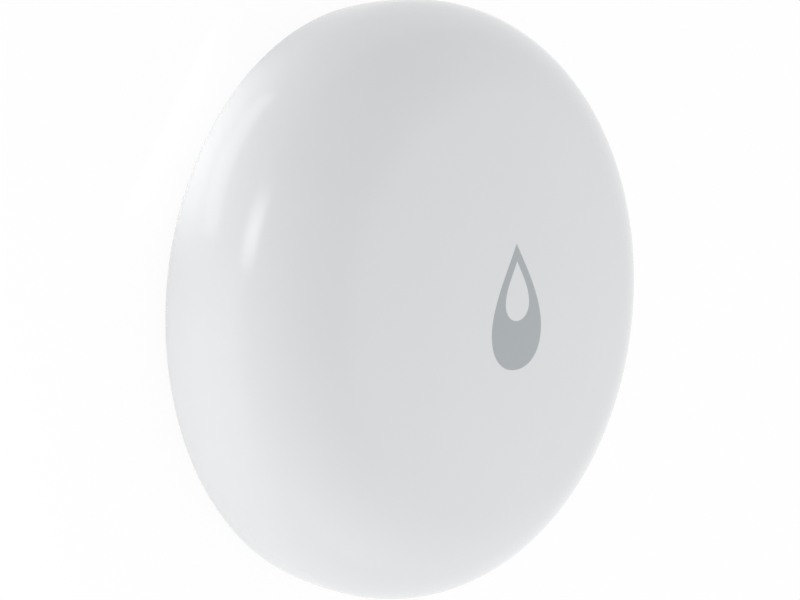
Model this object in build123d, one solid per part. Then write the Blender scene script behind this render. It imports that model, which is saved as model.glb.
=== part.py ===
from build123d import *
import math
import os

# Water leak sensor: a round, battery-powered puck that stands on the floor and senses water
# between two metal probes. Millimetres, +Z up, origin on the puck's axis in the plane of its feet.

# Outer form
total_height = 16.6
dome_radius = 96.0
shoulder_radius = 9.4
low_round = 1.8
belly_inset = 0.3
foot_height = 0.5
seam_rise = 0.7

# Gaps between pieces
fit_gap = 0.03
slip_gap = 0.15
turn_gap = 0.2
cut_margin = 1.0

# Shares of an arc's turn at which its points lie
arc_shares = (0, 0.25, 0.5, 0.75, 1)

# Coin cell
cell_radius = 10.0
cell_height = 3.2
cell_wall = 0.3
cell_gasket_width = 0.45
cell_cap_rise = 0.3
cell_edge_break = 0.25
cell_side_gap = 0.5
cell_play = 0.2

# Battery cover and its bayonet
door_inset = 0.1
door_thickness = 1.4
door_edge_break = 0.3
door_lip = 0.55
door_seal_section = 0.9
door_seal_land = 0.25
door_seal_exposed = 0.2
door_seal_gap = 0.08
neck_wall = 1.2
lug_count = 3
lug_width = 1.2
lug_height = 0.8
lug_angle = 24.0
lug_first_angle = 60.0
lug_lead = 0.3
lug_side_play_angle = 2.0
door_turn_angle = 45.0
stop_angle = 6.0
stop_play_angle = 1.0
ledge_thickness = 0.8
support_pad_height = 0.3
support_pad_width = 0.8
support_pad_count = 4
support_pad_radius_shares = (0.58, 0.92)
coin_slot_depth = 0.9
coin_slot_width = 1.8
coin_radius = 16.0
mark_depth = 0.2
mark_length = 1.2
mark_width = 1.0

# Base housing
floor_thickness = 1.6
bay_wall = 1.2
bay_roof_thickness = 1.0
bay_window_share = 0.7
spigot_wall = 1.35
spigot_height = 3.5
snap_bead_rise = 0.3
snap_bead_height = 0.9
snap_bead_drop = 0.5
housing_seal_height = 1.0
housing_seal_depth = 0.7
housing_seal_rise = 0.5
edge_land = 1.4
foot_count = 4
foot_tip_radius = 0.9
foot_root_radius = 1.3
foot_place_share = 0.87
floor_rib_count = 8
floor_rib_first_angle = 22.5
floor_rib_thickness = 0.8
floor_rib_height = 1.2

# Top cover
cover_wall = 1.6
cover_side_wall = 2.6
cover_inner_bends = 3
rib_count = 8
rib_first_angle = 22.5
rib_thickness = 0.9
rib_length = 2.6
rib_gap = 0.1
collar_wall = 0.9

# Probes
probe_web = 1.4
probe_lift = 0.15
probe_head_radius = 2.3
probe_head_height = 0.85
probe_head_slope = 0.4
probe_head_flat_share = 0.7
probe_head_gap = 0.25
probe_shank_radius = 1.0
probe_recess_width = 0.55
probe_recess_length = 2.2
probe_recess_depth = 0.5
probe_seal_thickness = 0.4
probe_seal_radius = 2.1
standoff_half_width = 1.75
standoff_length = 4.0
standoff_socket_depth = 1.5
standoff_bore_share = 0.46
boss_radius = 2.65

# Circuit board and its screws
board_thickness = 1.0
board_edge_gap = 0.8
board_gap = 0.5
post_radius = 1.8
post_place = 17.6
screw_radius = 0.8
screw_head_radius = 1.4
screw_head_height = 0.8
screw_length = 2.8
screw_slot_width = 0.35
screw_slot_depth = 0.4
screw_hole_gap = 0.1

# Switch and button stem
button_travel = 0.25
button_skin = 0.8
button_gap = 0.3
switch_size = 5.2
switch_well_floor = 0.5
switch_well_radius = 1.9
switch_frame_thickness = 0.2
switch_frame_skirt = 0.8
switch_dome_thickness = 0.1
plunger_radius = 1.25
plunger_flange_radius = 1.7
plunger_flange_height = 0.25
plunger_rise = 1.1
stem_radius = 2.2
stem_flange_radius = 2.9
stem_flange_height = 0.5

# Electronics on the board
chip_size = 6.0
chip_height = 0.85
chip_round = 0.1
chip_place_shares = (-0.22, -0.42)
crystal_length = 3.2
crystal_width = 1.5
crystal_height = 0.7
crystal_gap = 1.3
passive_length = 1.0
passive_width = 0.5
passive_height = 0.5
passive_ring_gap = 1.1
capacitor_count = 6
resistor_count = 5
resistor_pitch = 1.4
resistor_place_shares = (-0.15, 0.42)
led_length = 1.6
led_width = 0.8
led_height = 0.6
led_lens_height = 0.25
led_gap = 1.2
trace_thickness = 0.1
trace_width = 0.6
trace_pitch = 1.5
trace_length = 4.2
trace_turns = 4
trace_angle = 45.0
trace_place_share = 0.62

# Cell contacts
contact_thickness = 0.2
contact_width = 3.0
contact_round = 0.35
contact_foot = 2.2
contact_tip_rise = 0.6
positive_run = 2.3
positive_tip = 0.9
positive_lean = 1.0
contact_slot_gap = 0.3

# Places worked out from the sizes above, from the floor up
underside = foot_height
seam = underside + seam_rise
floor_top = underside + floor_thickness
door_face = underside + door_inset
door_top = door_face + door_thickness
ledge_low = door_top + door_seal_exposed + door_seal_gap
ledge_top = ledge_low + ledge_thickness
lug_low = ledge_top + slip_gap
lug_top = lug_low + lug_height
channel_top = lug_top + turn_gap
cell_low = door_top + support_pad_height + cell_play
cell_top = cell_low + cell_height
bay_roof_low = cell_top + cell_play
bay_roof_top = bay_roof_low + bay_roof_thickness
board_low = bay_roof_top + board_gap
board_top = board_low + board_thickness
spigot_top = floor_top + spigot_height

# Places worked out from the axis out
neck_inner = cell_radius + cell_side_gap
neck_outer = neck_inner + neck_wall
lug_outer = neck_outer + lug_width
channel_radius = lug_outer + turn_gap
door_seal_inner = channel_radius + door_seal_land
door_seal_outer = door_seal_inner + door_seal_section
door_radius = door_seal_outer + door_lip
recess_radius = door_radius + turn_gap
ledge_bore = neck_outer + turn_gap
bay_radius = cell_radius + 2 * turn_gap
bay_outer = channel_radius + bay_wall
ring_outer = recess_radius + bay_wall
probe_well_radius = probe_head_radius + probe_head_gap
probe_place = recess_radius + probe_web + probe_well_radius
flat_radius = probe_place + probe_well_radius + edge_land
outer_radius = flat_radius + low_round + belly_inset
cover_bore = outer_radius - cover_side_wall
spigot_outer = cover_bore - slip_gap
spigot_inner = spigot_outer - spigot_wall

# Centres of the outline's arcs: dome, shoulder, belly, and the low round that rolls under
dome_centre = total_height - dome_radius
shoulder_place = outer_radius - shoulder_radius
equator = dome_centre + math.sqrt((dome_radius - shoulder_radius) ** 2 - shoulder_place ** 2)
dome_end_angle = math.degrees(math.atan2(equator - dome_centre, shoulder_place))
round_middle = underside + low_round
belly_drop = equator - round_middle
belly_radius = (belly_inset ** 2 + 2 * low_round * belly_inset + belly_drop ** 2) / (2 * belly_inset)
belly_place = outer_radius - belly_radius
round_angle = -math.degrees(math.atan2(belly_drop, flat_radius - belly_place))
seam_angle = -math.degrees(math.asin((round_middle - seam) / low_round))
inner_round = shoulder_radius - cover_wall
bore_end_angle = math.degrees(math.acos((cover_bore - shoulder_place) / inner_round))

# The board's edge keeps its gap to the cover's bore, or to the shoulder's inside where that comes lower
shoulder_reach = shoulder_place + math.sqrt(inner_round ** 2 - (board_top - equator) ** 2)
board_radius = min(cover_bore, shoulder_reach) - board_edge_gap

# Switch and stem, from the board up
well_floor = board_top + switch_well_floor
dome_rise = switch_dome_thickness + button_travel
flange_low = well_floor + dome_rise + fit_gap
flange_top = flange_low + plunger_flange_height
frame_low = flange_top + fit_gap
frame_top = frame_low + switch_frame_thickness
plunger_top = frame_top + plunger_rise
collar_low = plunger_top + stem_flange_height + slip_gap
collar_bore = stem_radius + slip_gap
stem_top = total_height - button_skin - button_gap

# Probes, from the underside up
probe_seal_low = probe_lift + probe_head_height
probe_well_top = probe_seal_low + probe_seal_thickness
standoff_low = board_low - standoff_length
boss_top = standoff_low + standoff_socket_depth


def section_point(centre_radius, centre_height, radius, angle):
    """Point of an arc in the section plane, at an angle above the horizontal."""
    turn = math.radians(angle)
    return (centre_radius + radius * math.cos(turn), 0, centre_height + radius * math.sin(turn))


def section_arc(centre_radius, centre_height, radius, start, end):
    """Arc in the section plane, between two angles, as a spline, which turns into fewer facets."""
    places = [section_point(centre_radius, centre_height, radius, start + (end - start) * share)
              for share in arc_shares]
    ends = [Vector(*section_point(0, 0, math.copysign(1, end - start), angle + 90)) for angle in (start, end)]
    return Spline(*places, tangents=ends)


def turned(points):
    """Solid of revolution from a closed outline of (radius, height) points."""
    outline = Polyline(*[(radius, 0, height) for radius, height in points], close=True)
    return revolve(make_face(outline), Axis.Z)


def turned_edges(edges):
    """Solid of revolution from the edges of a closed outline."""
    return revolve(make_face(edges), Axis.Z)


def disc(radius, low, high):
    """Upright cylinder between two heights."""
    return Pos(0, 0, low) * extrude(Circle(radius), high - low)


def ring(outer, inner, low, high):
    """Upright tube between two heights."""
    return Pos(0, 0, low) * extrude(Circle(outer) - Circle(inner), high - low)


def hex_bar(half_width, low, high):
    """Upright hexagonal bar between two heights, measured to its flats."""
    return Pos(0, 0, low) * extrude(RegularPolygon(half_width, 6, major_radius=False), high - low)


def sector(outer, inner, low, high, middle, width):
    """Slice of a ring, centred on one angle."""
    outside = CenterArc((0, 0), outer, middle - width / 2, width)
    inside = CenterArc((0, 0), inner, middle - width / 2, width)
    sides = [Line(outside @ 0, inside @ 0), Line(outside @ 1, inside @ 1)]
    face = make_face([outside, inside, *sides])
    return Pos(0, 0, low) * extrude(face, high - low)


def block(size, low, place=(0, 0)):
    """Box with its middle over a place and its underside at a height."""
    return Pos(place[0], place[1], low + size[2] / 2) * Box(*size)


def around(count, first, shape):
    """Copies of a shape at equal angles about the axis."""
    return [Rot(0, 0, first + 360 * index / count) * shape for index in range(count)]


def join(base, shapes):
    """One solid from a base and the shapes that grow out of it."""
    for shape in shapes:
        base = base + shape
    return base


def carve(base, shapes):
    """A base with shapes cut out of it."""
    for shape in shapes:
        base = base - shape
    return base


def save(name, shape):
    """Write one sub-part under its own name."""
    shape.label = name
    export_step(shape, "parts/" + name + ".step")


def outer_edges():
    """The puck's outline from the seam up to the middle of the dome."""
    return [section_arc(flat_radius, round_middle, low_round, seam_angle, round_angle),
            section_arc(belly_place, equator, belly_radius, round_angle, 0),
            section_arc(shoulder_place, equator, shoulder_radius, 0, dome_end_angle),
            section_arc(0, dome_centre, dome_radius, dome_end_angle, 90)]


def inner_points(depth):
    """Points of the cover's inside at a depth, from the axis down to the bore, with straight runs."""
    points = [section_point(0, dome_centre, dome_radius - depth, 90)]
    for index in range(cover_inner_bends):
        angle = dome_end_angle + (bore_end_angle - dome_end_angle) * index / (cover_inner_bends - 1)
        points.append(section_point(shoulder_place, equator, shoulder_radius - depth, angle))
    return points


def snap_bead(grow):
    """Ring with a pointed section round the spigot, grown by a gap for the cover's groove."""
    middle = spigot_top - snap_bead_drop - snap_bead_height / 2
    half = snap_bead_height / 2 + grow
    tip = spigot_outer + snap_bead_rise + grow
    root = spigot_outer - spigot_wall / 2
    return turned([(root, middle - half), (spigot_outer, middle - half), (tip, middle),
                   (spigot_outer, middle + half), (root, middle + half)])


def make_top_cover():
    """Glossy domed shell with hold-down ribs, and a thin spot with a guide collar under the drop."""
    outline = outer_edges()
    inside = [*inner_points(cover_wall), (cover_bore, 0, seam)]
    shell = turned_edges([*outline, Polyline(outline[-1] @ 1, *inside, outline[0] @ 0)])

    within = [(x, z) for x, _, z in inner_points(cover_wall / 2)]
    half_wall = turned(within + [(cover_bore + cover_side_wall / 2, seam), (0, seam)])
    collar = disc(collar_bore + collar_wall, collar_low, total_height)
    rib_middle = cover_bore + cut_margin - (rib_length + cut_margin) / 2
    rib_low = board_top + rib_gap
    rib_size = (rib_length + cut_margin, rib_thickness, total_height - rib_low)
    ribs = around(rib_count, rib_first_angle, block(rib_size, rib_low, (rib_middle, 0)))
    shell = join(shell, [growth & half_wall for growth in [collar, *ribs]])

    guide = disc(collar_bore, collar_low - cut_margin, total_height - button_skin)
    return carve(shell, [guide, snap_bead(slip_gap)])


def make_housing_seal():
    """Silicone band that sits in the spigot's groove and meets the cover's bore."""
    low = seam + housing_seal_rise
    inner = spigot_outer - housing_seal_depth + fit_gap
    return ring(cover_bore - fit_gap, inner, low + fit_gap, low + housing_seal_height - fit_gap)


def base_outline():
    """The base's plate, spigot, door ring and battery bay before anything is cut."""
    roll = section_arc(flat_radius, round_middle, low_round, seam_angle, -90)
    points = [(spigot_outer, seam), (spigot_outer, spigot_top), (spigot_inner, spigot_top),
              (spigot_inner, floor_top), (ring_outer, floor_top), (ring_outer, ledge_top),
              (bay_outer, ledge_top), (bay_outer, bay_roof_top), (0, bay_roof_top), (0, underside)]
    seam_line = Line(roll @ 0, (spigot_outer, 0, seam))
    rest = Polyline(*[(radius, 0, height) for radius, height in points])
    flat_line = Line((0, 0, underside), roll @ 1)
    return turned_edges([roll, seam_line, rest, flat_line])


def bay_cuts():
    """Door recess, ledge bore, lug channel, cell bay and the window for the contacts."""
    window = cell_radius * bay_window_share
    notch_angle = lug_angle + 2 * lug_side_play_angle
    cuts = [disc(recess_radius, underside - cut_margin, ledge_low),
            disc(ledge_bore, underside, ledge_top + slip_gap),
            disc(channel_radius, ledge_top, channel_top),
            disc(bay_radius, ledge_top, bay_roof_low),
            disc(window, bay_roof_low - slip_gap, bay_roof_top + cut_margin)]
    for index in range(lug_count):
        middle = lug_first_angle - door_turn_angle + 360 * index / lug_count
        cuts.append(sector(channel_radius, neck_inner, underside, channel_top, middle, notch_angle))
    slot_length = positive_lean + 2 * contact_thickness + contact_slot_gap + cut_margin
    slot_size = (slot_length, contact_width + 2 * contact_slot_gap, bay_roof_top - channel_top + cut_margin)
    slot_middle = -(bay_radius - cut_margin + slot_length / 2)
    cuts.append(block(slot_size, channel_top, (slot_middle, 0)))
    return cuts


def lug_stops():
    """Ribs in the lug channel that end the door's turn at each end."""
    stops = []
    for index in range(lug_count):
        locked = lug_first_angle + 360 * index / lug_count
        past_lug = lug_angle / 2 + stop_play_angle + stop_angle / 2
        for middle in (locked + past_lug, locked - door_turn_angle - past_lug):
            stops.append(sector(bay_outer - bay_wall / 2, ledge_bore, ledge_top, channel_top,
                                middle, stop_angle))
    return stops


def probe_boss():
    """Boss round one probe's standoff, before its holes."""
    return Pos(0, probe_place, 0) * disc(boss_radius, underside, boss_top)


def probe_holes():
    """Head well, shank hole and standoff socket of one probe."""
    holes = [disc(probe_well_radius, underside - cut_margin, probe_well_top),
             disc(probe_shank_radius + slip_gap, probe_well_top - slip_gap, standoff_low + slip_gap),
             hex_bar(standoff_half_width + fit_gap, standoff_low, boss_top + cut_margin)]
    return [Pos(0, probe_place, 0) * hole for hole in holes]


def turn_marks():
    """Shallow marks beside the door: a bar where it is locked and a dot where it comes off."""
    middle = recess_radius + probe_web + mark_length / 2
    bar = block((mark_length, mark_width / 2, mark_depth + cut_margin), underside - cut_margin, (middle, 0))
    dot = Pos(middle, 0, 0) * disc(mark_width / 2, underside - cut_margin, underside + mark_depth)
    return [bar, Rot(0, 0, -door_turn_angle) * dot]


def make_base_housing():
    """Moulded underside: feet, probe wells, bayonet battery bay, board posts and the snap spigot."""
    post = Pos(post_place, 0, 0) * disc(post_radius, floor_top - slip_gap, board_low)
    pilot = Pos(post_place, 0, 0) * disc(screw_radius + fit_gap, board_low - screw_length, board_low)
    foot_profile = [(0, 0), (foot_tip_radius, 0), (foot_root_radius, foot_height),
                    (foot_root_radius, foot_height + mark_depth), (0, foot_height + mark_depth)]
    foot = Pos(flat_radius * foot_place_share, 0, 0) * turned(foot_profile)

    rib_span = spigot_inner - ring_outer + 2 * slip_gap
    rib_size = (rib_span, floor_rib_thickness, floor_rib_height + slip_gap)
    rib = block(rib_size, floor_top - slip_gap, ((spigot_inner + ring_outer) / 2, 0))
    ribs = around(floor_rib_count, floor_rib_first_angle, rib)

    cuts = bay_cuts() + around(2, 0, pilot)
    for hole in probe_holes():
        cuts += around(2, 0, hole)
    seal_low = seam + housing_seal_rise
    cuts.append(ring(cover_bore, spigot_outer - housing_seal_depth, seal_low,
                     seal_low + housing_seal_height))

    growths = around(2, 0, probe_boss()) + around(2, 0, post) + ribs + [snap_bead(0)]
    body = join(base_outline(), growths)
    body = carve(body, cuts + turn_marks())
    return join(body, lug_stops() + around(foot_count, 45, foot))


def make_battery_cover():
    """Round door with a coin slot, an O-ring groove, a neck and bayonet lugs."""
    plate = disc(door_radius, door_face, door_top)
    plate = chamfer(plate.edges().group_by(Axis.Z)[0], door_edge_break)
    neck = ring(neck_outer, neck_inner, door_top - slip_gap, lug_top)
    inner_share, outer_share = support_pad_radius_shares
    pad_length = cell_radius * (outer_share - inner_share)
    pad_middle = cell_radius * (outer_share + inner_share) / 2
    pad = block((pad_length, support_pad_width, 2 * support_pad_height),
                door_top - support_pad_height, (pad_middle, 0))
    body = join(plate, [neck] + around(support_pad_count, 45, pad) + door_lugs())

    groove = ring(door_seal_outer + fit_gap, door_seal_inner - fit_gap,
                  door_top + door_seal_exposed - door_seal_section, door_top + cut_margin)
    coin_height = door_face + coin_slot_depth - coin_radius
    coin = Pos(0, 0, coin_height) * Rot(90, 0, 0) * Cylinder(coin_radius, coin_slot_width)
    return carve(body, [groove, coin, door_pointer()])


def door_lugs():
    """Bayonet lugs on the neck, each with a sloping lead on its locking end."""
    lugs = []
    for index in range(lug_count):
        middle = lug_first_angle + 360 * index / lug_count
        lug = sector(lug_outer, neck_outer - neck_wall / 2, lug_low, lug_top, middle, lug_angle)
        lead_edges = lug.edges().group_by(Axis.Z)[0].filter_by(GeomType.LINE)
        lugs.append(chamfer(lead_edges, lug_lead))
    return lugs


def door_pointer():
    """Shallow triangle near the door's rim that points at the base's marks."""
    tip = door_radius - door_lip
    back = tip - mark_length
    corners = Polyline((tip, 0), (back, mark_width / 2), (back, -mark_width / 2), close=True)
    return Pos(0, 0, door_face - cut_margin) * extrude(make_face(corners), cut_margin + mark_depth)


def make_battery_cover_seal():
    """Sealing ring in the door's groove, with a six-sided section."""
    section = door_seal_section / 2
    middle = (door_seal_inner + door_seal_outer) / 2
    height = door_top + door_seal_exposed - section
    corners = [section_point(middle, height, section, angle) for angle in range(-30, 330, 60)]
    return turned([(x, z) for x, _, z in corners])


def make_cell():
    """Coin cell: the positive can with its face down, the gasket, and the negative cap."""
    rim = cell_top - cell_cap_rise
    can_inner = cell_radius - cell_wall
    can = disc(cell_radius, cell_low, rim)
    can = chamfer(can.edges().group_by(Axis.Z)[0], cell_edge_break)
    can = can - disc(can_inner, cell_low + cell_wall, rim + cut_margin)
    gasket_inner = can_inner - cell_gasket_width
    gasket = ring(can_inner - fit_gap, gasket_inner, cell_low + cell_wall, rim)
    cap = disc(gasket_inner - fit_gap, cell_low + cell_wall, cell_top)
    cap = chamfer(cap.edges().group_by(Axis.Z)[-1], cell_edge_break)
    return can, gasket, cap


def bent_strip(points):
    """Sheet-metal strip of constant thickness along a bent line in the XZ plane."""
    line = FilletPolyline(*[(x, z) for x, z in points], radius=contact_round)
    face = trace(line, contact_thickness)
    return Rot(90, 0, 0) * extrude(face, contact_width / 2, both=True)


def make_negative_contact():
    """Leaf spring from under the board down to the cell's cap."""
    foot_level = board_low - contact_thickness / 2
    touch_level = cell_top + contact_thickness / 2 + fit_gap
    root = cell_radius * bay_window_share - contact_slot_gap
    return bent_strip([(root, foot_level), (root - contact_foot, foot_level),
                       (0, touch_level), (-contact_foot / 2, touch_level + contact_tip_rise)])


def make_positive_contact():
    """Spring clip from under the board down to the cell's side wall."""
    foot_level = board_low - contact_thickness / 2
    touch = cell_radius + contact_thickness + fit_gap
    elbow = touch + positive_lean
    low = foot_level - positive_run
    return bent_strip([(-elbow - contact_foot, foot_level), (-elbow, foot_level), (-touch, low),
                       (-touch - positive_tip / 2, low - positive_tip)])


def make_probe_screw():
    """Stainless probe: head with a sloping rim and a cross recess, and a plain shank."""
    flat = probe_head_radius * probe_head_flat_share
    shank_top = standoff_low + standoff_length * standoff_bore_share - slip_gap
    screw = turned([(0, probe_lift), (flat, probe_lift), (probe_head_radius, probe_lift + probe_head_slope),
                    (probe_head_radius, probe_seal_low), (probe_shank_radius, probe_seal_low),
                    (probe_shank_radius, shank_top), (0, shank_top)])
    long_side, short_side = probe_recess_length, probe_recess_width
    height = probe_recess_depth + cut_margin
    bars = [block((long_side, short_side, height), probe_lift - cut_margin),
            block((short_side, long_side, height), probe_lift - cut_margin)]
    return Pos(0, probe_place, 0) * carve(screw, bars)


def make_probe_seal():
    """Rubber washer between a probe's head and the base."""
    washer = ring(probe_seal_radius, probe_shank_radius + fit_gap, probe_seal_low, probe_well_top)
    return Pos(0, probe_place, 0) * washer


def make_probe_standoff():
    """Threaded hexagonal brass standoff between a probe and the board."""
    depth = standoff_length * standoff_bore_share
    cuts = [disc(probe_shank_radius + fit_gap, standoff_low - cut_margin, standoff_low + depth),
            disc(screw_radius + fit_gap, board_low - depth, board_low + cut_margin)]
    body = hex_bar(standoff_half_width, standoff_low, board_low)
    return Pos(0, probe_place, 0) * carve(body, cuts)


def screw_places():
    """Where the board is screwed down: on the two posts and on the two standoffs."""
    return [(post_place, 0), (-post_place, 0), (0, probe_place), (0, -probe_place)]


def make_circuit_board():
    """Round board with its four screw holes."""
    holes = [Pos(x, y, 0) * disc(screw_radius + screw_hole_gap, board_low - cut_margin,
                                 board_top + cut_margin) for x, y in screw_places()]
    return carve(disc(board_radius, board_low, board_top), holes)


def make_board_screws():
    """Four identical slotted screws, as separate solids."""
    length = min(screw_length, board_thickness + standoff_length * standoff_bore_share - slip_gap)
    head = disc(screw_head_radius, board_top, board_top + screw_head_height)
    slot = block((2 * screw_head_radius, screw_slot_width, screw_slot_depth + cut_margin),
                 board_top + screw_head_height - screw_slot_depth)
    screw = head - slot + disc(screw_radius, board_top - length, board_top)
    return Compound([Pos(x, y, 0) * screw for x, y in screw_places()])


def on_board(shares):
    """Place on the board from shares of its radius."""
    return (board_radius * shares[0], board_radius * shares[1])


def make_radio_chip():
    """Square radio chip with slightly broken edges and a pin-one dimple."""
    x, y = on_board(chip_place_shares)
    body = block((chip_size, chip_size, chip_height), board_top, (x, y))
    body = chamfer(body.edges().group_by(Axis.Z)[-1], chip_round)
    corner = chip_size / 2 - 8 * chip_round
    dimple = Pos(x - corner, y + corner, 0) * disc(3 * chip_round, board_top + chip_height - chip_round,
                                                   board_top + chip_height + cut_margin)
    return body - dimple


def make_crystal():
    """Metal-can crystal beside the chip."""
    x, y = on_board(chip_place_shares)
    can = block((crystal_length, crystal_width, crystal_height), board_top,
                (x, y - chip_size / 2 - crystal_gap))
    return fillet(can.edges().filter_by(Axis.Z), crystal_width / 5)


def make_capacitors():
    """Row of chip capacitors along one side of the radio chip."""
    x, y = on_board(chip_place_shares)
    pitch = chip_size / (capacitor_count - 1)
    column = x - chip_size / 2 - passive_ring_gap
    places = [(column, y - chip_size / 2 + index * pitch) for index in range(capacitor_count)]
    size = (passive_length, passive_width, passive_height)
    return Compound([block(size, board_top, place) for place in places])


def make_resistors():
    """Row of chip resistors across the board from the chip."""
    x, y = on_board(resistor_place_shares)
    size = (passive_width, passive_length, passive_height)
    places = [(x + (index - resistor_count / 2) * resistor_pitch, y) for index in range(resistor_count)]
    return Compound([block(size, board_top, place) for place in places])


def make_antenna_trace():
    """Printed aerial: a copper meander near the board's edge, between a post and a probe."""
    near = board_radius * trace_place_share
    far = near + trace_length
    points = []
    for index in range(trace_turns):
        x = (2 * index - trace_turns + 1 / 2) * trace_pitch
        points += [(x, near), (x, far), (x + trace_pitch, far), (x + trace_pitch, near)]
    meander = Sketch()
    for (x_start, y_start), (x_end, y_end) in zip(points, points[1:]):
        middle = ((x_start + x_end) / 2, (y_start + y_end) / 2)
        size = (abs(x_end - x_start) + trace_width, abs(y_end - y_start) + trace_width)
        meander += Pos(*middle) * Rectangle(*size)
    return Rot(0, 0, trace_angle) * Pos(0, 0, board_top) * extrude(meander, trace_thickness)


def make_status_led():
    """Small lamp beside the switch, with a raised lens."""
    y = -(switch_size / 2 + led_gap + led_width / 2)
    body = block((led_length, led_width, led_height), board_top, (0, y))
    lens = block((led_length / 2, led_width, led_lens_height), board_top + led_height, (0, y))
    return body + lens


def make_switch():
    """Tact switch: moulded base, pressed frame, snap dome and plunger."""
    base = block((switch_size, switch_size, frame_low - board_top), board_top)
    base = base - disc(switch_well_radius, well_floor, frame_low + cut_margin)
    outer = switch_size + 2 * switch_frame_thickness
    skirt_low = frame_low - switch_frame_skirt
    frame = block((outer, switch_size, frame_top - skirt_low), skirt_low)
    hollow_size = (switch_size + 2 * fit_gap, switch_size + cut_margin, frame_low - skirt_low + cut_margin)
    frame = frame - block(hollow_size, skirt_low - cut_margin)
    frame = frame - disc(plunger_radius + slip_gap, frame_low - cut_margin, frame_top + cut_margin)
    rim = switch_well_radius - slip_gap
    bend = well_floor + dome_rise * 4 / 5
    dome = turned([(0, well_floor + dome_rise), (rim / 2, bend), (rim, well_floor + switch_dome_thickness),
                   (rim, well_floor), (rim / 2, bend - switch_dome_thickness),
                   (0, well_floor + dome_rise - switch_dome_thickness)])
    plunger = disc(plunger_flange_radius, flange_low, flange_top)
    plunger = plunger + disc(plunger_radius, flange_low, plunger_top)
    return base, frame, dome, plunger


def make_button_stem():
    """Clear stem that stands on the plunger and ends just under the cover's thin spot."""
    stem = disc(stem_radius, plunger_top, stem_top)
    return stem + disc(stem_flange_radius, plunger_top, plunger_top + stem_flange_height)


def build():
    """Make every sub-part and write it out."""
    os.makedirs("parts", exist_ok=True)
    save("top_cover", make_top_cover())
    save("base_housing", make_base_housing())
    save("housing_seal", make_housing_seal())
    save("battery_cover", make_battery_cover())
    save("battery_cover_seal", make_battery_cover_seal())
    for name, piece in zip(("coin_cell_can", "coin_cell_gasket", "coin_cell_cap"), make_cell()):
        save(name, piece)
    save("negative_contact", make_negative_contact())
    save("positive_contact", make_positive_contact())
    for side, turn in (("left", 0), ("right", 180)):
        save(side + "_probe_screw", Rot(0, 0, turn) * make_probe_screw())
        save(side + "_probe_seal", Rot(0, 0, turn) * make_probe_seal())
        save(side + "_probe_standoff", Rot(0, 0, turn) * make_probe_standoff())
    save("circuit_board", make_circuit_board())
    save("board_screws", make_board_screws())
    save("radio_chip", make_radio_chip())
    save("crystal", make_crystal())
    save("chip_capacitors", make_capacitors())
    save("chip_resistors", make_resistors())
    save("antenna_trace", make_antenna_trace())
    save("status_led", make_status_led())
    for name, piece in zip(("switch_base", "switch_frame", "switch_dome", "switch_plunger"), make_switch()):
        save(name, piece)
    save("button_stem", make_button_stem())
    print("outer radius", round(outer_radius, 3), "height", total_height)
    print("switch dome stands at", round(well_floor, 3), "feet at", round(flat_radius * foot_place_share, 3))


build()
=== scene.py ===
"""A white, glossy water leak sensor: its finishes, its printed drop and the studio round it.

The puck lies on its feet with +Z up, and the drop's tip points along +Y. Lengths are millimetres
in the classes' fields and become metres where something is made from them.
"""

import logging
import math
from dataclasses import dataclass
from enum import Enum
from typing import Optional

import bmesh
import bpy
from mathutils import Matrix, Vector


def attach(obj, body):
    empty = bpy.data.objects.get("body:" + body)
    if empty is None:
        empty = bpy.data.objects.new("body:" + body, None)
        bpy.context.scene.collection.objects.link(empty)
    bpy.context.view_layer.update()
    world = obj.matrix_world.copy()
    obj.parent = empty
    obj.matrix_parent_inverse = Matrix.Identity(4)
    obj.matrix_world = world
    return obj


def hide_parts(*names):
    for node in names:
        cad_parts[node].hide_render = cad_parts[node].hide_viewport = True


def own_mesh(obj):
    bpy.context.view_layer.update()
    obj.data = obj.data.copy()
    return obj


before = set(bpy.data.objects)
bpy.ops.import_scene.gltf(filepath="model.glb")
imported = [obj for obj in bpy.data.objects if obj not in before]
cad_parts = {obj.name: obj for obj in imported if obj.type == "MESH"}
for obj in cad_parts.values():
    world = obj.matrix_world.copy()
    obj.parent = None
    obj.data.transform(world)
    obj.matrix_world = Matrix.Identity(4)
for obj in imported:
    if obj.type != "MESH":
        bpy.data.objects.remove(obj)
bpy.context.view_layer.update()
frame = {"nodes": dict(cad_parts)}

MM = 0.001
# Points nearer to each other than this, in millimetres, become one.
MERGE_DISTANCE = 1e-4
log = logging.getLogger("water_leak_sensor")

Socket = bpy.types.NodeSocket
Node = bpy.types.Node
NodeTree = bpy.types.NodeTree


class Grain(Enum):
    """How a surface was worked, which decides the pattern on it."""

    MOULDED = "moulded"
    TURNED = "turned"
    PRESSED = "pressed"
    MASKED = "masked"


def linear(hex_colour: str) -> tuple[float, float, float, float]:
    """Turn an sRGB colour into the linear values that shaders use.

    Args:
        hex_colour: Six hex digits, such as "E4E6E8".

    Returns:
        Red, green, blue and an alpha of one.
    """
    shares = [int(hex_colour[index:index + 2], 16) / 255 for index in (0, 2, 4)]
    values = [share / 12.92 if share <= 0.04045 else ((share + 0.055) / 1.055) ** 2.4 for share in shares]
    return (values[0], values[1], values[2], 1.0)


def add_node(tree: NodeTree, kind: str, settings: Optional[dict] = None,
             links: Optional[dict] = None) -> Node:
    """Add one node with its settings and its incoming links.

    Args:
        tree: Node tree that gets the node.
        kind: Blender's type name of the node.
        settings: Values by socket name or number, or by property name where no socket has it.
        links: Sockets that feed this node's inputs, by input name or number.

    Returns:
        The new node.
    """
    node = tree.nodes.new(kind)
    for key, value in (settings or {}).items():
        if isinstance(key, int) or key in node.inputs:
            node.inputs[key].default_value = value
        else:
            setattr(node, key, value)
    for key, source in (links or {}).items():
        tree.links.new(source, node.inputs[key])
    return node


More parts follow.
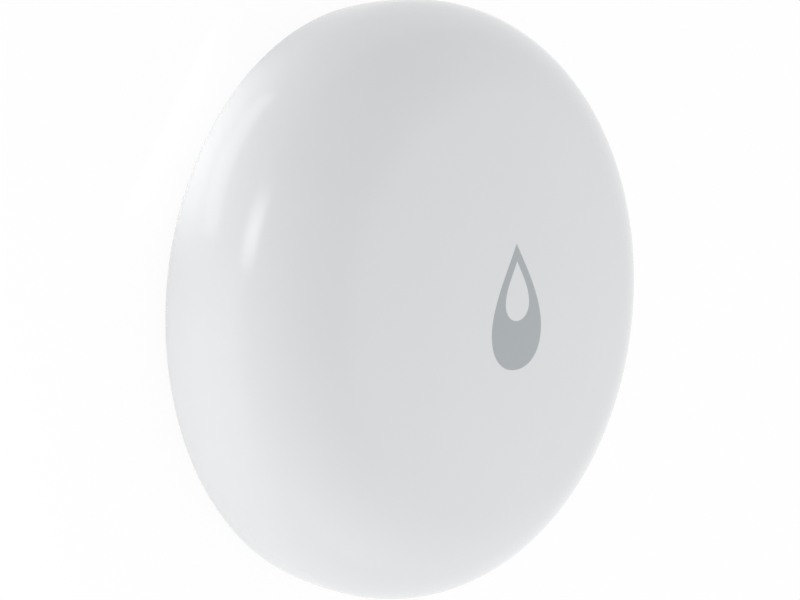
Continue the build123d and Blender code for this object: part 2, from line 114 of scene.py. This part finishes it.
# Numbers of the Mix node's colour sockets, which share their names with its other sockets.
MIX_FIRST, MIX_SECOND, MIX_RESULT = 6, 7, 2
# At this share of the scale, the wave texture's rings stand 1.9 grain sizes apart.
RING_SHARE = 1 / 6
# At this share of the scale, the brick texture's rows are one grain size high.
TRACK_SHARE = 1 / 4
# This scale of the pattern draws the grain of rolled metal out along X.
ROLLED_SCALE = (0.08, 1.0, 1.0)


@dataclass(frozen=True)
class Finish:
    """What one material is, with its colours, its gloss and the scale of its grain."""

    name: str
    slot: str
    colour: str
    grain_colour: str
    grain: Grain = Grain.MOULDED
    roughness: float = 0.5
    roughness_spread: float = 0.06
    metallic: float = 0.0
    ior: float = 1.5
    coat: float = 0.0
    coat_roughness: float = 0.1
    transmission: float = 0.0
    grain_size: float = 0.5
    grain_height: float = 0.005
    centre: tuple[float, float, float] = (0.0, 0.0, 0.0)

    def material(self) -> bpy.types.Material:
        """Build the procedural material of this finish.

        Returns:
            A material whose colour, roughness and bump follow the grain.
        """
        found = bpy.data.materials.get(self.name)
        if found:
            return found
        material = bpy.data.materials.new(self.name)
        material.use_nodes = True
        tree = material.node_tree
        tree.nodes.clear()
        pattern = self.pattern(tree)
        base, grain = linear(self.colour), linear(self.grain_colour)
        colour = add_node(tree, "ShaderNodeMix", {"data_type": "RGBA", MIX_FIRST: base, MIX_SECOND: grain},
                          {"Factor": pattern})
        low, high = self.roughness - self.roughness_spread, self.roughness + self.roughness_spread
        gloss = add_node(tree, "ShaderNodeMapRange", {"To Min": low, "To Max": high}, {"Value": pattern})
        bump = add_node(tree, "ShaderNodeBump", {"Strength": 1.0, "Distance": self.grain_height * MM},
                        {"Height": pattern})
        shader = add_node(
            tree, "ShaderNodeBsdfPrincipled",
            {"Metallic": self.metallic, "IOR": self.ior, "Coat Weight": self.coat,
             "Coat Roughness": self.coat_roughness, "Transmission Weight": self.transmission},
            {"Base Color": colour.outputs[MIX_RESULT], "Roughness": gloss.outputs["Result"],
             "Normal": bump.outputs["Normal"]})
        add_node(tree, "ShaderNodeOutputMaterial", None, {"Surface": shader.outputs["BSDF"]})
        return material

    def pattern(self, tree: NodeTree) -> Socket:
        """Lay out the grain in object space.

        Args:
            tree: Node tree of the material.

        Returns:
            A socket with values from 0 to 1.
        """
        place = add_node(tree, "ShaderNodeTexCoord")
        shift = tuple(-length * MM for length in self.centre)
        mapped = add_node(tree, "ShaderNodeMapping", {"Location": shift},
                          {"Vector": place.outputs["Object"]})
        centred = mapped.outputs["Vector"]
        scale = 1 / (self.grain_size * MM)
        if self.grain is Grain.TURNED:
            rings = add_node(tree, "ShaderNodeTexWave",
                             {"wave_type": "RINGS", "rings_direction": "Z", "Scale": scale * RING_SHARE,
                              "Distortion": 1.5, "Detail": 2.0}, {"Vector": centred})
            return rings.outputs["Fac"]
        if self.grain is Grain.PRESSED:
            stretched = add_node(tree, "ShaderNodeMapping", {"Scale": ROLLED_SCALE}, {"Vector": centred})
            lines = add_node(tree, "ShaderNodeTexNoise", {"Scale": scale, "Detail": 3.0, "Roughness": 0.6},
                             {"Vector": stretched.outputs["Vector"]})
            return lines.outputs["Fac"]
        if self.grain is Grain.MASKED:
            tracks = add_node(tree, "ShaderNodeTexBrick",
                              {"Scale": scale * TRACK_SHARE, "Mortar Size": 0.05, "Mortar Smooth": 0.2,
                               "Bias": -0.2, "Color1": (0, 0, 0, 1), "Color2": (0.35, 0.35, 0.35, 1),
                               "Mortar": (1, 1, 1, 1)}, {"Vector": centred})
            return tracks.outputs["Color"]
        specks = add_node(tree, "ShaderNodeTexNoise", {"Scale": scale, "Detail": 4.0, "Roughness": 0.55},
                          {"Vector": centred})
        return specks.outputs["Fac"]


# Gloss ABS from a polished mould: clean and bright, with slow, faint swells that only bend its highlights.
GLOSS_ABS = Finish("gloss_moulded_abs", "gloss_white", "DFE0E1", "E2E3E4", roughness=0.17,
                   roughness_spread=0.02, ior=1.53, grain_size=9.0, grain_height=0.004)
# Satin ABS from a spark-eroded mould: a soft, even sheen. The real grit of 0.05 mm is drawn at 0.3 mm.
SATIN_ABS = Finish("satin_moulded_abs", "satin_white", "DCDFE0", "E4E6E7", roughness=0.48, ior=1.53,
                   grain_size=0.3, grain_height=0.006)
# Screen-printed ink: a flat, cool grey, slightly duller than the gloss under it.
PRINTED_INK = Finish("screen_printed_ink", "gloss_white", "AAAFB2", "AFB3B6", roughness=0.34, ior=1.48,
                     grain_size=0.4, grain_height=0.001)
# Moulded silicone: nearly black and matt, with a faint dusty bloom.
SILICONE = Finish("moulded_silicone", "seal_rubber", "26272A", "313236", roughness=0.68, ior=1.43,
                  grain_size=0.35, grain_height=0.004)
# Nickel-plated, deep-drawn steel of the cell and the small cans: bright, with lengthwise rolling lines.
NICKELLED_STEEL = Finish("nickelled_steel", "cell_steel", "BDBCB7", "CFCEC9", Grain.PRESSED, roughness=0.27,
                         metallic=1.0, grain_size=0.12, grain_height=0.002)
# Polypropylene gasket of the cell: dark and slightly waxy.
GASKET_PP = Finish("moulded_polypropylene", "cell_plastic", "3A3B40", "45464B", roughness=0.5, ior=1.49,
                   grain_size=0.3, grain_height=0.003)
# Tin-plated phosphor bronze of the springs: warm silver, lightly rolled.
SPRING_BRONZE = Finish("plated_phosphor_bronze", "spring_steel", "C3BDAE", "CEC9BC", Grain.PRESSED,
                       roughness=0.3, metallic=1.0, grain_size=0.15, grain_height=0.002)
# Turned brass of the standoffs: golden, with fine tool rings.
TURNED_BRASS = Finish("turned_brass", "standoff_brass", "C9A659", "B8944A", Grain.TURNED, roughness=0.3,
                      metallic=1.0, grain_size=0.25, grain_height=0.003)
# Zinc-plated steel of the small screws: cool silver.
ZINCED_STEEL = Finish("zinced_steel", "screw_steel", "B4B8BC", "C3C7CA", Grain.PRESSED, roughness=0.33,
                      metallic=1.0, grain_size=0.2, grain_height=0.002)
# Solder mask over copper on glass-fibre board: deep green, with slightly lighter tracks beneath.
SOLDER_MASK = Finish("solder_mask_fr4", "board_green", "14522C", "1D6A3A", Grain.MASKED, roughness=0.36,
                     coat=0.3, grain_size=0.8, grain_height=0.012)
# Moulded epoxy of the chips: charcoal, finely matt.
CHIP_EPOXY = Finish("moulded_epoxy", "chip_black", "1D1E20", "292A2D", roughness=0.56, grain_size=0.15,
                    grain_height=0.004)
# Fired ceramic of the capacitors: tan, with a dry surface.
CERAMIC = Finish("fired_ceramic", "capacitor_tan", "A58762", "B3966F", roughness=0.55, grain_size=0.2,
                 grain_height=0.003)
# Gold-flashed copper of the printed aerial: warm and even.
GOLD_FLASH = Finish("gold_flashed_copper", "trace_copper", "CDA267", "D9B27A", Grain.PRESSED,
                    roughness=0.25, metallic=1.0, grain_size=0.2, grain_height=0.001)
# Cast clear epoxy of the lamp: pale and a little milky.
LAMP_EPOXY = Finish("cast_clear_epoxy", "led_clear", "F1F0E4", "E9E8DA", roughness=0.2,
                    transmission=0.5, grain_size=0.4, grain_height=0.001)
# Clear polycarbonate of the button stem: see-through, with soft edges.
CLEAR_PC = Finish("clear_polycarbonate", "stem_clear", "F4F6F7", "EDF0F2", roughness=0.12, ior=1.585,
                  transmission=0.9, grain_size=1.2, grain_height=0.001)


def probe_finish(name: str, x: float, y: float) -> Finish:
    """Polished stainless steel of a probe: bright, with the lathe's fine rings round its own middle.

    Args:
        name: Name of the material.
        x: The probe's place along X in millimetres.
        y: The probe's place along Y in millimetres.

    Returns:
        The probe's finish.
    """
    return Finish(name, "probe_steel", "C6C6C4", "B7B8B7", Grain.TURNED, roughness=0.2,
                  roughness_spread=0.05, metallic=1.0, grain_size=0.2, grain_height=0.003,
                  centre=(x, y, 0.0))


def dress(piece: bpy.types.Object, finish: Finish) -> None:
    """Give a piece one finish.

    Args:
        piece: A CAD node or a new piece.
        finish: The finish that covers it.
    """
    piece.data.materials.clear()
    piece.data.materials.append(finish.material())
    log.info("%s: %s", piece.name, finish.name)


def dress_nodes(names: tuple[str, ...], finish: Finish) -> None:
    """Give several CAD nodes the same finish.

    Args:
        names: The nodes' names.
        finish: The finish that covers them.
    """
    for name in names:
        dress(frame["nodes"][name], finish)


def finished_piece(name: str, mesh: bmesh.types.BMesh, sharp_angle: float = 30.0) -> bpy.types.Object:
    """Turn a bmesh in millimetres into a smooth-shaded object at the origin.

    Args:
        name: Name of the new object.
        mesh: The modelled mesh, freed afterwards.
        sharp_angle: Edges that bend by more degrees stay crisp.

    Returns:
        The linked object.
    """
    bmesh.ops.scale(mesh, vec=(MM, MM, MM), verts=mesh.verts[:])
    for face in mesh.faces:
        face.smooth = True
    for edge in mesh.edges:
        edge.smooth = edge.calc_face_angle(0) < math.radians(sharp_angle)
    data = bpy.data.meshes.new(name)
    mesh.to_mesh(data)
    mesh.free()
    piece = bpy.data.objects.new(name, data)
    bpy.context.scene.collection.objects.link(piece)
    return piece


@dataclass
class TopCover:
    """The glossy domed shell: dome, shoulder, belly and the round that rolls under to the seam."""

    height: float = 16.6
    radius: float = 25.0
    dome_radius: float = 96.0
    shoulder_radius: float = 9.4
    low_round: float = 1.8
    belly_inset: float = 0.3
    underside: float = 0.5
    seam: float = 1.2
    wall: float = 1.6
    bore: float = 22.4
    around: int = 288
    dome_steps: int = 28
    shoulder_steps: int = 40
    low_steps: int = 8
    inner_dome_steps: int = 8
    inner_shoulder_steps: int = 12

    @property
    def dome_centre(self) -> Vector:
        """Centre of the dome's arc."""
        return Vector((0, 0, self.height - self.dome_radius))

    @property
    def shoulder_centre(self) -> Vector:
        """Find the centre of the shoulder's arc, which touches the dome's arc.

        Returns:
            A point of the section at the widest level, in millimetres.
        """
        reach = self.radius - self.shoulder_radius
        rise = math.sqrt((self.dome_radius - self.shoulder_radius) ** 2 - reach ** 2)
        return Vector((reach, 0, self.dome_centre.z + rise))

    @property
    def belly_centre(self) -> Vector:
        """Find the centre of the belly's arc, which touches the low round.

        Returns:
            A point of the section at the widest level, in millimetres.
        """
        drop = self.shoulder_centre.z - self.round_centre.z
        inset, low = self.belly_inset, self.low_round
        belly_radius = (inset ** 2 + 2 * low * inset + drop ** 2) / (2 * inset)
        return Vector((self.radius - belly_radius, 0, self.shoulder_centre.z))

    @property
    def round_centre(self) -> Vector:
        """Centre of the low round's arc."""
        return Vector((self.radius - self.belly_inset - self.low_round, 0, self.underside + self.low_round))

    def dome_level(self, x: float, y: float) -> float:
        """Height of the dome's surface over a point.

        Args:
            x: Place along X in millimetres.
            y: Place along Y in millimetres.

        Returns:
            The height in millimetres.
        """
        return self.dome_centre.z + math.sqrt(self.dome_radius ** 2 - x * x - y * y)

    def build(self) -> bpy.types.Object:
        """Turn the cover's section round the axis.

        Returns:
            The cover, which stands for its CAD node.
        """
        mesh = bmesh.new()
        end = mesh.verts.new((0, 0, self.height))
        reach, rise = self.shoulder_centre.x, self.shoulder_centre.z - self.dome_centre.z
        drop = self.shoulder_centre.z - self.round_centre.z
        dome_turn = math.atan2(reach, rise)
        low_turn = math.atan2(drop, self.round_centre.x - self.belly_centre.x)
        seam_turn = math.asin((self.round_centre.z - self.seam) / self.low_round)
        end = self.arc(mesh, end, self.dome_centre, dome_turn, self.dome_steps)
        end = self.arc(mesh, end, self.shoulder_centre, math.pi / 2 - dome_turn, self.shoulder_steps)
        end = self.arc(mesh, end, self.belly_centre, low_turn, self.low_steps)
        end = self.arc(mesh, end, self.round_centre, seam_turn - low_turn, self.low_steps)
        inner = self.shoulder_radius - self.wall
        bore_turn = math.acos((self.bore - self.shoulder_centre.x) / inner)
        bore_top = self.shoulder_centre.z + inner * math.sin(bore_turn)
        end = self.run(mesh, end, Vector((self.bore, 0, self.seam)))
        end = self.run(mesh, end, Vector((self.bore, 0, bore_top)))
        inner_turn = math.pi / 2 - dome_turn - bore_turn
        end = self.arc(mesh, end, self.shoulder_centre, -inner_turn, self.inner_shoulder_steps)
        self.arc(mesh, end, self.dome_centre, -dome_turn, self.inner_dome_steps)

        bmesh.ops.spin(mesh, geom=mesh.verts[:] + mesh.edges[:], cent=(0, 0, 0), axis=(0, 0, 1),
                       angle=math.tau, steps=self.around, use_merge=True)
        bmesh.ops.remove_doubles(mesh, verts=mesh.verts[:], dist=MERGE_DISTANCE)
        bmesh.ops.recalc_face_normals(mesh, faces=mesh.faces[:])
        cover = finished_piece("cover_shell", mesh)
        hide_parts("top_cover")
        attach(cover, "housing")
        return cover

    def arc(self, mesh: bmesh.types.BMesh, start: bmesh.types.BMVert, centre: Vector, angle: float,
            steps: int) -> bmesh.types.BMVert:
        """Draw an arc of the section by spinning its last point.

        Args:
            mesh: Mesh that holds the section.
            start: Last point so far.
            centre: Centre of the arc.
            angle: Turn about +Y in radians, which runs from the dome down the outside.
            steps: Number of straight parts.

        Returns:
            The arc's last point.
        """
        made = bmesh.ops.spin(mesh, geom=[start], cent=centre, axis=(0, 1, 0), angle=angle, steps=steps)
        return next(item for item in made["geom_last"] if isinstance(item, bmesh.types.BMVert))

    def run(self, mesh: bmesh.types.BMesh, start: bmesh.types.BMVert, place: Vector) -> bmesh.types.BMVert:
        """Draw a straight run of the section.

        Args:
            mesh: Mesh that holds the section.
            start: Last point so far.
            place: Where the run ends.

        Returns:
            The run's last point.
        """
        made = bmesh.ops.extrude_vert_indiv(mesh, verts=[start])
        made["verts"][0].co = place
        return made["verts"][0]

    def dress(self, cover: bpy.types.Object) -> None:
        """Give the cover its gloss."""
        dress(cover, GLOSS_ABS)


@dataclass
class DropOutline:
    """One half of a drop's outline, mirrored about the Y axis."""

    tip: float
    low: float
    half_width: float
    widest: float
    tip_angle: float
    tip_pull: float
    side_pull: float
    belly_pull: float
    low_pull: float

    def add_to(self, curve: bpy.types.Curve) -> None:
        """Draw the closed outline as a spline of four knots.

        Args:
            curve: Flat curve that gets the spline.
        """
        lean_x, lean_y = math.sin(self.tip_angle), -math.cos(self.tip_angle)
        tip_right = (self.tip_pull * lean_x, self.tip + self.tip_pull * lean_y)
        tip_left = (-tip_right[0], tip_right[1])
        right, left = (self.half_width, self.widest), (-self.half_width, self.widest)
        knots = [
            (tip_left, (0, self.tip), tip_right),
            ((right[0], right[1] + self.side_pull), right, (right[0], right[1] - self.belly_pull)),
            ((self.low_pull, self.low), (0, self.low), (-self.low_pull, self.low)),
            ((left[0], left[1] - self.belly_pull), left, (left[0], left[1] + self.side_pull)),
        ]
        spline = curve.splines.new("BEZIER")
        spline.bezier_points.add(len(knots) - 1)
        spline.use_cyclic_u = True
        for point, (before, knot, after) in zip(spline.bezier_points, knots):
            point.handle_left_type = point.handle_right_type = "FREE"
            point.handle_left, point.co, point.handle_right = (*before, 0), (*knot, 0), (*after, 0)


@dataclass
class PrintedDrop:
    """The grey drop printed on the middle of the dome, with a smaller drop left bare in it."""

    cover: TopCover
    outer: DropOutline
    inner: DropOutline
    middle: tuple[float, float] = (0.14, -0.05)
    cell: float = 0.4
    cut_tolerance: float = 1e-5
    ink: float = 0.008
    smoothness: int = 24

    def build(self) -> bpy.types.Object:
        """Fill the outline, cut it into small cells and lay it on the dome.

        Returns:
            The printed layer.
        """
        curve = bpy.data.curves.new("drop_outline", "CURVE")
        curve.dimensions, curve.fill_mode, curve.resolution_u = "2D", "BOTH", self.smoothness
        self.outer.add_to(curve)
        self.inner.add_to(curve)
        holder = bpy.data.objects.new("drop_outline", curve)
        flat = bpy.data.meshes.new_from_object(holder)
        bpy.data.objects.remove(holder)
        mesh = bmesh.new()
        mesh.from_mesh(flat)
        bpy.data.meshes.remove(flat)
        bmesh.ops.remove_doubles(mesh, verts=mesh.verts[:], dist=MERGE_DISTANCE)
        self.cut(mesh, Vector((1, 0, 0)), -self.outer.half_width, self.outer.half_width)
        self.cut(mesh, Vector((0, 1, 0)), self.outer.low, self.outer.tip)
        bmesh.ops.translate(mesh, vec=(*self.middle, 0), verts=mesh.verts[:])
        for vert in mesh.verts:
            vert.co.z = self.cover.dome_level(vert.co.x, vert.co.y) + self.ink
        bmesh.ops.recalc_face_normals(mesh, faces=mesh.faces[:])
        if sum(face.normal.z for face in mesh.faces) < 0:
            bmesh.ops.reverse_faces(mesh, faces=mesh.faces[:])
        bmesh.ops.solidify(mesh, geom=mesh.faces[:], thickness=self.ink)
        print_layer = finished_piece("printed_drop", mesh)
        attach(print_layer, "housing")
        return print_layer

    def cut(self, mesh: bmesh.types.BMesh, across: Vector, first: float, last: float) -> None:
        """Cut the flat fill into strips.

        Args:
            mesh: The flat fill.
            across: Direction across the strips.
            first: Place of the fill's first edge along it.
            last: Place of its last edge.
        """
        place = first + self.cell
        while place < last:
            bmesh.ops.bisect_plane(mesh, geom=mesh.verts[:] + mesh.edges[:] + mesh.faces[:],
                                   dist=self.cut_tolerance, plane_co=across * place, plane_no=across)
            place += self.cell

    def dress(self, print_layer: bpy.types.Object) -> None:
        """Give the layer its ink."""
        dress(print_layer, PRINTED_INK)


@dataclass
class BaseHousing:
    """The satin underside with its feet, and the seal round its spigot."""

    shell: tuple[str, ...] = ("base_housing",)
    seals: tuple[str, ...] = ("housing_seal",)

    def dress(self) -> None:
        """Give the moulding and its seal their finishes."""
        dress_nodes(self.shell, SATIN_ABS)
        dress_nodes(self.seals, SILICONE)


@dataclass
class BatteryDoor:
    """The coin-turned door and the ring that seals it."""

    door: tuple[str, ...] = ("battery_cover",)
    seals: tuple[str, ...] = ("battery_cover_seal",)

    def dress(self) -> None:
        """Give the door and its seal their finishes."""
        dress_nodes(self.door, SATIN_ABS)
        dress_nodes(self.seals, SILICONE)


@dataclass
class CoinCell:
    """The cell in its bay and the two springs that touch it."""

    steel: tuple[str, ...] = ("coin_cell_can", "coin_cell_cap")
    gasket: tuple[str, ...] = ("coin_cell_gasket",)
    springs: tuple[str, ...] = ("negative_contact", "positive_contact")

    def dress(self) -> None:
        """Give the cell and its contacts their finishes."""
        dress_nodes(self.steel, NICKELLED_STEEL)
        dress_nodes(self.gasket, GASKET_PP)
        dress_nodes(self.springs, SPRING_BRONZE)


@dataclass
class Probes:
    """The two steel probes under the puck, with their washers and standoffs."""

    place: float = 18.95
    seals: tuple[str, ...] = ("left_probe_seal", "right_probe_seal")
    standoffs: tuple[str, ...] = ("left_probe_standoff", "right_probe_standoff")

    def dress(self) -> None:
        """Give each probe rings round its own middle, and the pieces behind it their finishes."""
        dress_nodes(("left_probe_screw",), probe_finish("turned_stainless_left", 0, self.place))
        dress_nodes(("right_probe_screw",), probe_finish("turned_stainless_right", 0, -self.place))
        dress_nodes(self.seals, SILICONE)
        dress_nodes(self.standoffs, TURNED_BRASS)


@dataclass
class CircuitBoard:
    """The board with everything soldered or printed on it."""

    board: tuple[str, ...] = ("circuit_board",)
    screws: tuple[str, ...] = ("board_screws",)
    black: tuple[str, ...] = ("radio_chip", "chip_resistors")
    cans: tuple[str, ...] = ("crystal",)
    capacitors: tuple[str, ...] = ("chip_capacitors",)
    aerial: tuple[str, ...] = ("antenna_trace",)
    lamp: tuple[str, ...] = ("status_led",)

    def dress(self) -> None:
        """Give the board and its parts their finishes."""
        dress_nodes(self.board, SOLDER_MASK)
        dress_nodes(self.screws, ZINCED_STEEL)
        dress_nodes(self.black, CHIP_EPOXY)
        dress_nodes(self.cans, NICKELLED_STEEL)
        dress_nodes(self.capacitors, CERAMIC)
        dress_nodes(self.aerial, GOLD_FLASH)
        dress_nodes(self.lamp, LAMP_EPOXY)


@dataclass
class ButtonSwitch:
    """The switch on the board and the clear stem between it and the drop."""

    black: tuple[str, ...] = ("switch_base", "switch_plunger")
    frame: tuple[str, ...] = ("switch_frame",)
    spring: tuple[str, ...] = ("switch_dome",)
    stem: tuple[str, ...] = ("button_stem",)
    spring_foot: float = 8.9
    spring_height: float = 0.35
    travel: float = 0.25

    def dress(self) -> None:
        """Give the switch and the stem their finishes, and give the snap dome a mesh of its own."""
        dress_nodes(self.black, CHIP_EPOXY)
        dress_nodes(self.frame, NICKELLED_STEEL)
        dress_nodes(self.spring, SPRING_BRONZE)
        dress_nodes(self.stem, CLEAR_PC)
        for name in self.spring:
            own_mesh(frame["nodes"][name])


def facing(azimuth: float, elevation: float) -> Vector:
    """Turn two angles into a direction.

    Args:
        azimuth: Degrees from +X towards +Y.
        elevation: Degrees above the floor.

    Returns:
        The direction, one unit long.
    """
    turn, rise = math.radians(azimuth), math.radians(elevation)
    return Vector((math.cos(rise) * math.cos(turn), math.cos(rise) * math.sin(turn), math.sin(rise)))


@dataclass(frozen=True)
class Glow:
    """A soft brightening of the room round one direction, which leaves no edge in a highlight."""

    azimuth: float
    elevation: float
    strength: float
    tightness: float = 4.0

    def add_to(self, tree: NodeTree, direction: Socket, sum_so_far: Socket) -> Socket:
        """Add this glow to the room's light.

        Args:
            tree: Node tree of the world.
            direction: Where a ray looks.
            sum_so_far: Strength of the light without this glow.

        Returns:
            The strength with it.
        """
        middle = facing(self.azimuth, self.elevation)
        toward = add_node(tree, "ShaderNodeVectorMath", {"operation": "DOT_PRODUCT", 1: middle},
                          {0: direction})
        front = add_node(tree, "ShaderNodeMath", {"operation": "MAXIMUM", 1: 0.0},
                         {0: toward.outputs["Value"]})
        falloff = add_node(tree, "ShaderNodeMath", {"operation": "POWER", 1: self.tightness},
                           {0: front.outputs[0]})
        added = add_node(tree, "ShaderNodeMath", {"operation": "MULTIPLY_ADD", 1: self.strength},
                         {0: falloff.outputs[0], 2: sum_so_far})
        return added.outputs[0]


@dataclass(frozen=True)
class Softbox:
    """An oblong lamp that faces the sensor from one side; a fill lamp leaves no highlight."""

    name: str
    azimuth: float
    elevation: float
    distance: float
    width: float
    height: float
    power: float
    spread: float = 180.0
    fill: bool = False

    def build(self, target: Vector) -> None:
        """Hang the lamp and turn it to the sensor.

        Args:
            target: What the lamp faces.
        """
        data = bpy.data.lights.new(self.name, "AREA")
        data.shape = "RECTANGLE"
        data.size, data.size_y, data.energy = self.width * MM, self.height * MM, self.power
        data.spread = math.radians(self.spread)
        lamp = bpy.data.objects.new(self.name, data)
        away = facing(self.azimuth, self.elevation)
        lamp.location = (target + self.distance * away) * MM
        lamp.rotation_euler = away.to_track_quat("Z", "Y").to_euler()
        lamp.visible_camera = False
        lamp.visible_glossy = not self.fill
        bpy.context.scene.collection.objects.link(lamp)
        log.info("lamp %s at azimuth %g, elevation %g", self.name, self.azimuth, self.elevation)


@dataclass
class Studio:
    """Pale floor, soft lamps and the camera at the photograph's angle."""

    middle: tuple[float, float, float] = (0.0, 0.0, 5.78)
    right: tuple[float, float, float] = (0.6437, 0.0049, 0.7653)
    up: tuple[float, float, float] = (0.0911, 0.9924, -0.0829)
    eye_distance: float = 200.0
    pixels_per_mm: float = 11.963
    middle_pixel: tuple[float, float] = (413.9, 300.35)
    image_size: tuple[int, int] = (800, 600)
    sensor_width: float = 36.0
    clip: tuple[float, float] = (10.0, 20000.0)
    floor_half: float = 3000.0
    floor_glow: float = 0.94
    floor_colour: str = "FCFCFC"
    sky_colour: str = "FAFBFC"
    sky_strength: float = 0.74
    glows: tuple[Glow, ...] = (
        Glow(azimuth=10, elevation=10, strength=0.23, tightness=2.0),
        Glow(azimuth=-90, elevation=10, strength=0.6),
        Glow(azimuth=-45, elevation=50, strength=0.34),
    )
    lamps: tuple[Softbox, ...] = (
        Softbox("near_strip", azimuth=154, elevation=3, distance=76, width=34, height=14, power=0.00022,
                spread=36),
        Softbox("edge_card", azimuth=145, elevation=-8.5, distance=28.3, width=17, height=2.8,
                power=0.00013),
        Softbox("left_fill", azimuth=-172, elevation=-3, distance=50, width=34, height=6, power=0.00118,
                fill=True),
        Softbox("near_fill", azimuth=-140, elevation=-3, distance=50, width=34, height=6, power=0.0007,
                fill=True),
    )

    def build(self) -> None:
        """Set up the floor, the world, the lamps and the camera."""
        self.build_floor()
        self.build_world()
        for lamp in self.lamps:
            lamp.build(Vector(self.middle))
        self.build_camera()
        bpy.context.scene.view_settings.view_transform = "Standard"

    def sees_background(self, tree: NodeTree) -> Socket:
        """Say which rays meet the plain white background.

        Args:
            tree: Node tree of the floor's material.

        Returns:
            A socket that is 1 for rays from the camera and through gloss or glass, else 0.
        """
        path = add_node(tree, "ShaderNodeLightPath")
        first = add_node(tree, "ShaderNodeMath", {"operation": "MAXIMUM"},
                         {0: path.outputs["Is Camera Ray"], 1: path.outputs["Is Glossy Ray"]})
        both = add_node(tree, "ShaderNodeMath", {"operation": "MAXIMUM"},
                        {0: first.outputs[0], 1: path.outputs["Is Transmission Ray"]})
        return both.outputs[0]

    def build_floor(self) -> None:
        """Lay a pale floor that looks white and keeps a trace of the sensor's shadow."""
        mesh = bmesh.new()
        bmesh.ops.create_grid(mesh, x_segments=1, y_segments=1, size=self.floor_half * MM)
        data = bpy.data.meshes.new("floor")
        mesh.to_mesh(data)
        mesh.free()
        floor = bpy.data.objects.new("floor", data)
        bpy.context.scene.collection.objects.link(floor)
        material = bpy.data.materials.new("pale_matt_floor")
        material.use_nodes = True
        tree = material.node_tree
        tree.nodes.clear()
        lit = add_node(tree, "ShaderNodeBsdfDiffuse", {"Color": linear(self.floor_colour)})
        white = add_node(tree, "ShaderNodeEmission", {"Strength": 1.0})
        share = add_node(tree, "ShaderNodeMath", {"operation": "MULTIPLY", 1: self.floor_glow},
                         {0: self.sees_background(tree)})
        mixed = add_node(tree, "ShaderNodeMixShader", None,
                         {0: share.outputs[0], 1: lit.outputs[0], 2: white.outputs[0]})
        add_node(tree, "ShaderNodeOutputMaterial", None, {"Surface": mixed.outputs[0]})
        floor.data.materials.append(material)

    def build_world(self) -> None:
        """Fill the room with soft light that is brighter round each glow."""
        world = bpy.data.worlds.new("soft_room")
        world.use_nodes = True
        tree = world.node_tree
        tree.nodes.clear()
        even_light = add_node(tree, "ShaderNodeValue")
        strength = even_light.outputs[0]
        strength.default_value = self.sky_strength
        direction = add_node(tree, "ShaderNodeTexCoord").outputs["Generated"]
        for glow in self.glows:
            strength = glow.add_to(tree, direction, strength)
        room = add_node(tree, "ShaderNodeBackground", {"Color": linear(self.sky_colour)},
                        {"Strength": strength})
        add_node(tree, "ShaderNodeOutputWorld", None, {"Surface": room.outputs[0]})
        bpy.context.scene.world = world

    def build_camera(self) -> None:
        """Place the camera where the photograph was taken from."""
        right, up = Vector(self.right).normalized(), Vector(self.up)
        up = (up - right * up.dot(right)).normalized()
        back = right.cross(up)
        eye = Vector(self.middle) + back * self.eye_distance
        off_right = (self.middle_pixel[0] - self.image_size[0] / 2) / self.pixels_per_mm
        off_down = (self.middle_pixel[1] - self.image_size[1] / 2) / self.pixels_per_mm
        aim = Vector(self.middle) - right * off_right + up * off_down
        back = (eye - aim).normalized()
        right = up.cross(back).normalized()
        up = back.cross(right)
        turn = Matrix((right, up, back)).transposed().to_4x4()
        data = bpy.data.cameras.new("camera")
        data.sensor_width = self.sensor_width
        data.lens = self.pixels_per_mm * self.eye_distance * self.sensor_width / self.image_size[0]
        data.clip_start, data.clip_end = self.clip[0] * MM, self.clip[1] * MM
        camera = bpy.data.objects.new("camera", data)
        camera.matrix_world = Matrix.Translation(eye * MM) @ turn
        bpy.context.scene.collection.objects.link(camera)
        bpy.context.scene.camera = camera


def main() -> None:
    """Build the sensor's new pieces, dress every node and set up the studio."""
    logging.basicConfig(level=logging.INFO, format="%(message)s")
    cover = TopCover()
    cover.dress(cover.build())
    drop = PrintedDrop(
        cover,
        outer=DropOutline(tip=5.52, low=-4.74, half_width=3.24, widest=-1.54, tip_angle=0.53,
                          tip_pull=2.18, side_pull=2.40, belly_pull=1.93, low_pull=1.98),
        inner=DropOutline(tip=4.14, low=-0.74, half_width=1.55, widest=0.69, tip_angle=0.50,
                          tip_pull=1.20, side_pull=1.20, belly_pull=0.83, low_pull=0.89),
    )
    drop.dress(drop.build())
    for assembly in (BaseHousing(), BatteryDoor(), CoinCell(), Probes(), CircuitBoard(), ButtonSwitch()):
        assembly.dress()
    Studio().build()


if __name__ == "__main__":
    main()
